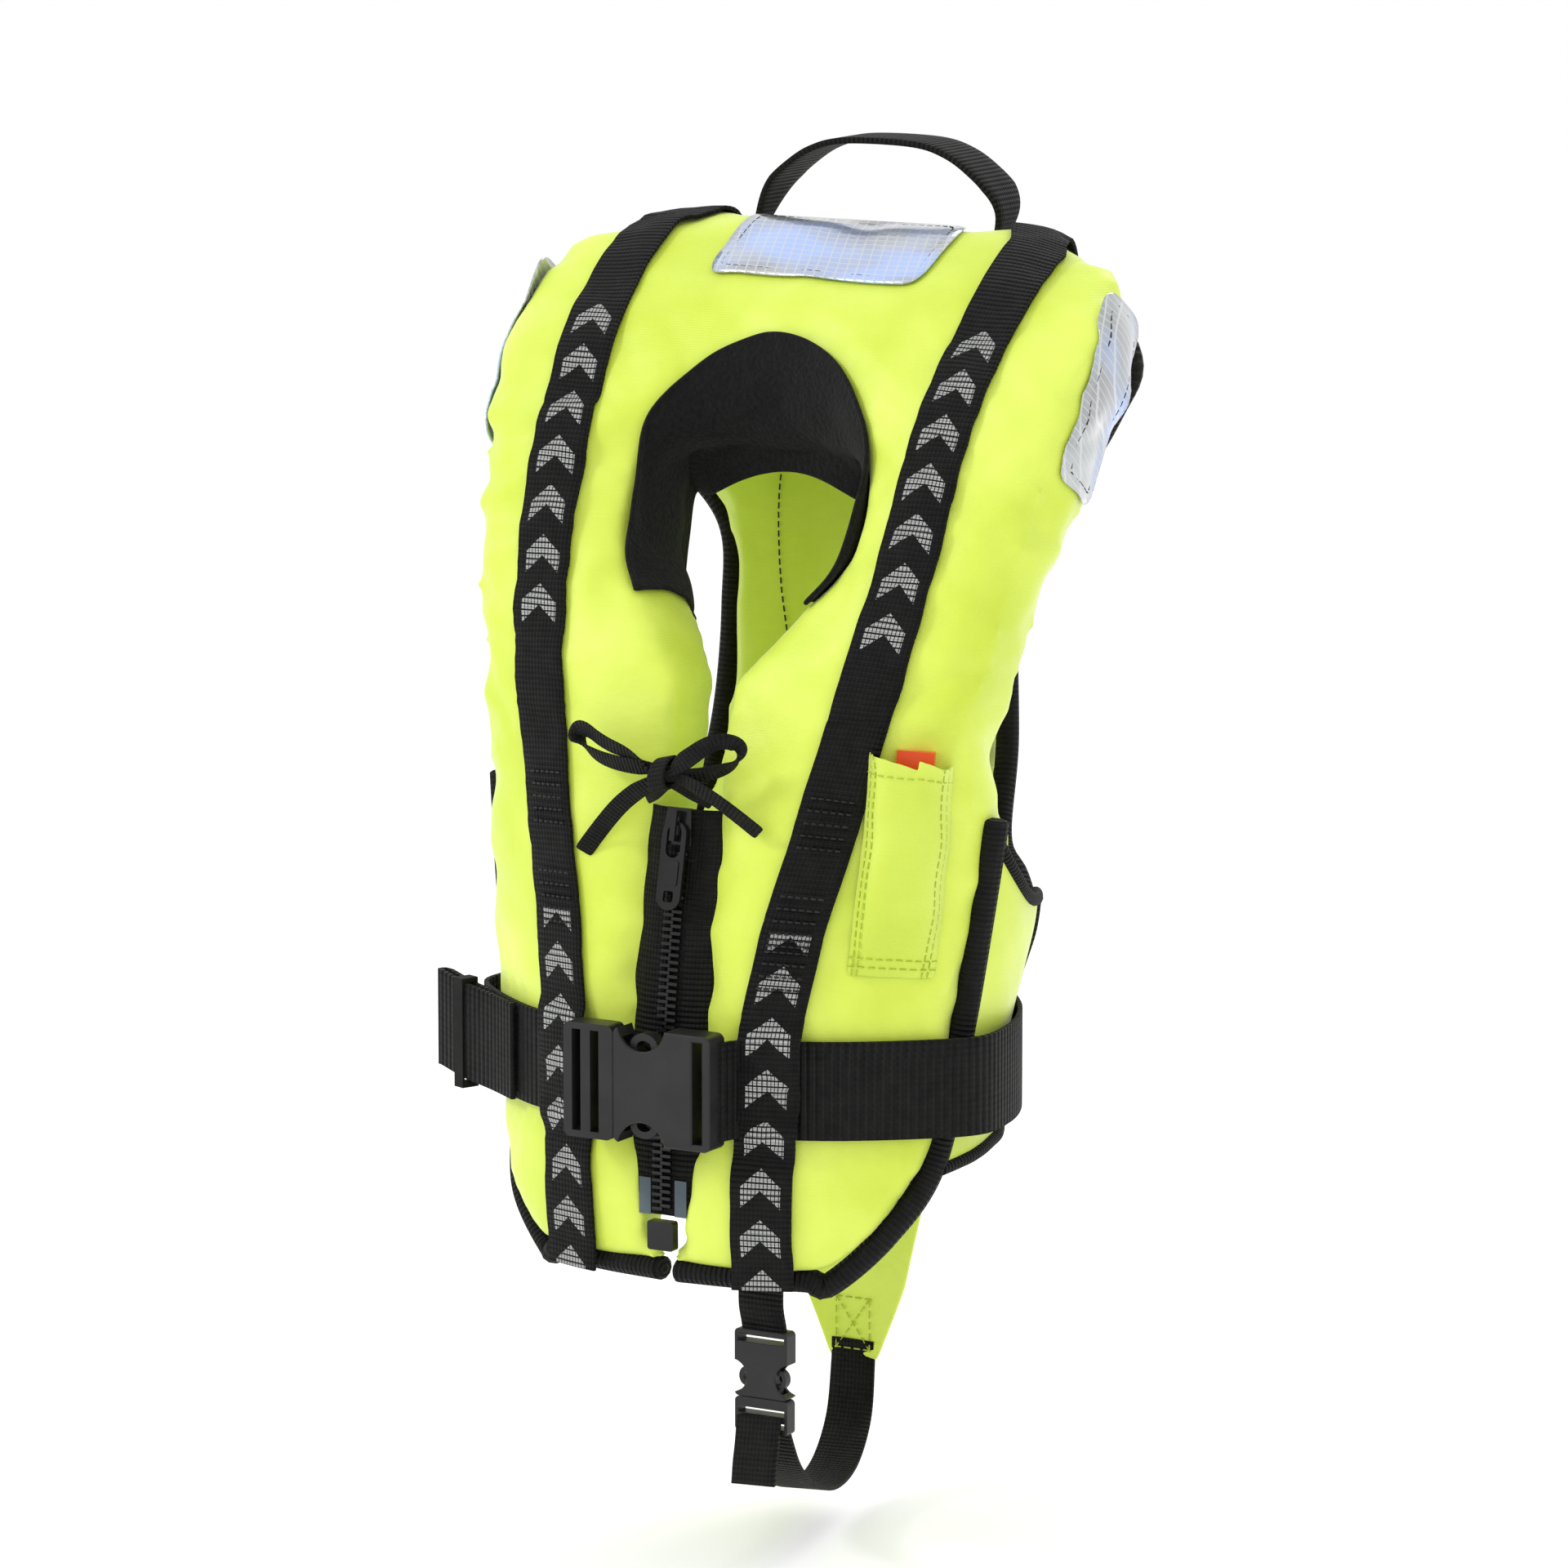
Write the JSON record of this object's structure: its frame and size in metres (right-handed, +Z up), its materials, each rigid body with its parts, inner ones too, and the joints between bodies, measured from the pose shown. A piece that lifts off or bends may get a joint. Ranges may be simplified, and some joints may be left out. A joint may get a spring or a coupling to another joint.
{
  "type": "foam life jacket",
  "caption": "Child's foam life jacket, fastened: collar, zip front, waist belt and crotch strap with side-release buckles, grab handle and whistle pocket.",
  "frame": {"origin": "centre of the neck opening at shoulder level, on the wearer's middle plane", "axes": "+Z up along the wearer's spine, -Y to the wearer's front, +X to the wearer's left"},
  "size_m": [0.2812, 0.2185, 0.5505],
  "materials": {
    "yellow_nylon": "satin coated nylon",
    "yellow_lining": "plain nylon",
    "pocket_nylon": "thin nylon",
    "foam": "closed-cell foam",
    "black_fleece": "fleece",
    "binding": "woven tape",
    "strap_webbing": "ribbed webbing with a woven pattern",
    "belt_webbing": "coarse ribbed webbing",
    "buckle_plastic": "moulded acetal",
    "zip_tape": "woven tape",
    "zip_plastic": "moulded",
    "zip_film": "film",
    "tie_braid": "braided tape",
    "reflective": "prismatic reflective film",
    "whistle_plastic": "moulded"
  },
  "bodies": {
    "vest": {"outer_shell": "yellow_nylon", "back_shell": "yellow_nylon", "gusset_left": "yellow_nylon", "gusset_right": "yellow_nylon", "crotch_flap": "yellow_nylon", "front_lining": "yellow_lining", "back_lining": "yellow_lining", "whistle_pocket": "pocket_nylon", "foam_yoke": "foam", "foam_front_left": "foam", "foam_front_right": "foam", "foam_back": "foam", "neck_fleece": "black_fleece", "front_binding_left": "binding", "front_binding_right": "binding", "armhole_binding_left": "binding", "armhole_binding_right": "binding", "strap_left": "strap_webbing", "strap_right": "strap_webbing", "rear_strap_left": "strap_webbing", "rear_strap_right": "strap_webbing", "belt": "belt_webbing", "belt_front_run": "belt_webbing", "belt_tail": "belt_webbing", "belt_keeper": "belt_webbing", "crotch_tab": "belt_webbing", "crotch_strap": "belt_webbing", "crotch_tail": "belt_webbing", "belt_buckle_female": "buckle_plastic", "crotch_buckle_female": "buckle_plastic", "zip_tape_left": "zip_tape", "zip_tape_right": "zip_tape", "zip_teeth_left": "zip_plastic", "zip_teeth_right": "zip_plastic", "zip_box": "zip_plastic", "zip_film": "zip_film", "tie_left": "tie_braid", "tie_right": "tie_braid", "tie_knot": "tie_braid", "patch_collar": "reflective", "patch_shoulder_left": "reflective", "patch_shoulder_right": "reflective"},
    "zip_slider": {"zip_slider": "zip_plastic"},
    "zip_pull": {"zip_pull": "zip_plastic"},
    "belt_male": {"belt_buckle_male": "buckle_plastic"},
    "belt_latch_top": {"belt_latch_upper": "buckle_plastic"},
    "belt_latch_bottom": {"belt_latch_lower": "buckle_plastic"},
    "crotch_male": {"crotch_buckle_male": "buckle_plastic"},
    "crotch_latch_outer": {"crotch_latch_left": "buckle_plastic"},
    "crotch_latch_inner": {"crotch_latch_right": "buckle_plastic"},
    "whistle": {"whistle": "whistle_plastic"},
    "handle": {"grab_handle": "strap_webbing"}
  },
  "joints": [
    {"name": "zip_travel", "type": "hinge", "parent": "vest", "child": "zip_slider", "pos_m": [0, 0.64505, -0.30766], "axis": [1, 0, 0], "range_deg": [0, 11.18]},
    {"name": "zip_pull_swing", "type": "hinge", "parent": "zip_slider", "child": "zip_pull", "pos_m": [0, -0.07734, -0.15235], "axis": [1, 0, 0], "range_deg": [-100, 0]},
    {"name": "belt_buckle_release", "type": "slide", "parent": "vest", "child": "belt_male", "axis": [-1, 0, 0], "range_m": [0, 0.04], "deforming": ["belt_latch_upper", "belt_latch_lower", "belt_front_run"]},
    {"name": "belt_latch_top_press", "type": "hinge", "parent": "belt_male", "child": "belt_latch_top", "pos_m": [-0.011, -0.102, -0.244], "axis": [0, 1, 0], "range_deg": [0, 8], "stiffness_Nm_per_rad": 0.4},
    {"name": "belt_latch_bottom_press", "type": "hinge", "parent": "belt_male", "child": "belt_latch_bottom", "pos_m": [-0.011, -0.102, -0.266], "axis": [0, -1, 0], "range_deg": [0, 8], "stiffness_Nm_per_rad": 0.4},
    {"name": "crotch_buckle_release", "type": "slide", "parent": "vest", "child": "crotch_male", "axis": [0, 0, -1], "range_m": [0, 0.025], "deforming": ["crotch_latch_left", "crotch_latch_right", "crotch_strap", "crotch_tail"]},
    {"name": "crotch_latch_outer_press", "type": "hinge", "parent": "crotch_male", "child": "crotch_latch_outer", "pos_m": [0.0468, -0.076, -0.3835], "axis": [0, -1, 0], "range_deg": [0, 8], "stiffness_Nm_per_rad": 0.2},
    {"name": "crotch_latch_inner_press", "type": "hinge", "parent": "crotch_male", "child": "crotch_latch_inner", "pos_m": [0.0332, -0.076, -0.3835], "axis": [0, 1, 0], "range_deg": [0, 8], "stiffness_Nm_per_rad": 0.2},
    {"name": "whistle_pull", "type": "slide", "parent": "vest", "child": "whistle", "axis": [0.05, 0.087, 0.995], "range_m": [0, 0.045]},
    {"name": "handle_fold", "type": "hinge", "parent": "vest", "child": "handle", "pos_m": [0, 0.098, 0.086], "axis": [1, 0, 0], "range_deg": [-80, 60], "stiffness_Nm_per_rad": 0.02, "deforming": ["grab_handle"]}
  ]
}
